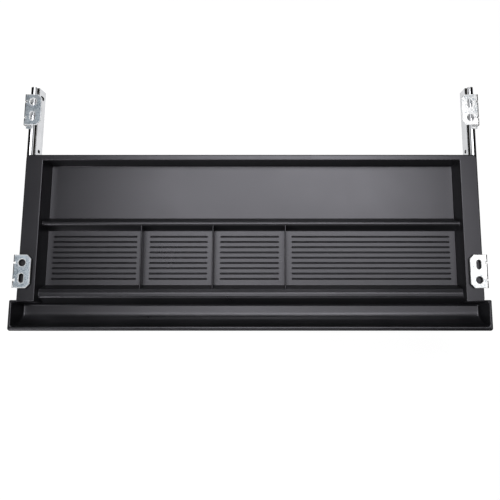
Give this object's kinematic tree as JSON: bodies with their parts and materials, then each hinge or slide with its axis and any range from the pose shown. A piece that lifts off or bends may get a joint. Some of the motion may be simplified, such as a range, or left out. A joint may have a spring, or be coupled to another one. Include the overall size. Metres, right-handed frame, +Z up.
{
  "type": "under desk drawer",
  "caption": "Shallow moulded pencil drawer with a ribbed sorting tray and a full-width pencil trough, hung below a desk top on two ball slides and screw-on angle brackets.",
  "frame": {"origin": "middle of the four-bracket pattern, on the underside of the desk top that the bracket flanges bear on", "axes": "+X across the drawer to the user's right, +Y towards the back of the desk, +Z up; the drawer opens along -Y"},
  "size_m": [0.534, 0.2792, 0.0455],
  "materials": {
    "tray_plastic": "fine satin mould texture, black",
    "slide_zinc": "bright zinc plate, roll-formed, smooth",
    "cage_zinc": "bright zinc plate, greased",
    "bracket_zinc": "clear-blue zinc plate with a fine crystalline mottle",
    "fastener_zinc": "zinc plate",
    "ball_steel": "polished bearing steel",
    "bumper_rubber": "matte black"
  },
  "bodies": {
    "desk_side": {"slide_outer_left": "slide_zinc", "closing_bumper_left": "bumper_rubber", "bracket_front_left": "bracket_zinc", "rivet_front_left_1": "fastener_zinc", "rivet_front_left_2": "fastener_zinc", "bracket_rear_left": "bracket_zinc", "rivet_rear_left_1": "fastener_zinc", "rivet_rear_left_2": "fastener_zinc", "slide_outer_right": "slide_zinc", "closing_bumper_right": "bumper_rubber", "bracket_front_right": "bracket_zinc", "rivet_front_right_1": "fastener_zinc", "rivet_front_right_2": "fastener_zinc", "bracket_rear_right": "bracket_zinc", "rivet_rear_right_1": "fastener_zinc", "rivet_rear_right_2": "fastener_zinc"},
    "drawer": {"drawer_tray": "tray_plastic", "slide_inner_left": "slide_zinc", "tray_screw_left_1": "fastener_zinc", "tray_screw_left_2": "fastener_zinc", "tray_screw_left_3": "fastener_zinc", "slide_inner_right": "slide_zinc", "tray_screw_right_1": "fastener_zinc", "tray_screw_right_2": "fastener_zinc", "tray_screw_right_3": "fastener_zinc"},
    "cage_left": {"ball_cage_left": "cage_zinc", "ball_left_1": "ball_steel", "ball_left_2": "ball_steel", "ball_left_3": "ball_steel", "ball_left_4": "ball_steel", "ball_left_5": "ball_steel", "ball_left_6": "ball_steel", "ball_left_7": "ball_steel", "ball_left_8": "ball_steel"},
    "cage_right": {"ball_cage_right": "cage_zinc", "ball_right_1": "ball_steel", "ball_right_2": "ball_steel", "ball_right_3": "ball_steel", "ball_right_4": "ball_steel", "ball_right_5": "ball_steel", "ball_right_6": "ball_steel", "ball_right_7": "ball_steel", "ball_right_8": "ball_steel"}
  },
  "joints": [
    {"name": "drawer_slide", "type": "slide", "parent": "desk_side", "child": "drawer", "axis": [0, -1, 0], "range_m": [0, 0.187]},
    {"name": "cage_left_slide", "type": "slide", "parent": "desk_side", "child": "cage_left", "axis": [0, -1, 0], "range_m": [0, 0.0935]},
    {"name": "cage_right_slide", "type": "slide", "parent": "desk_side", "child": "cage_right", "axis": [0, -1, 0], "range_m": [0, 0.0935]}
  ],
  "couplings": [
    {"joint": "cage_left_slide", "follows": "drawer_slide", "ratio": 0.5},
    {"joint": "cage_right_slide", "follows": "drawer_slide", "ratio": 0.5}
  ]
}
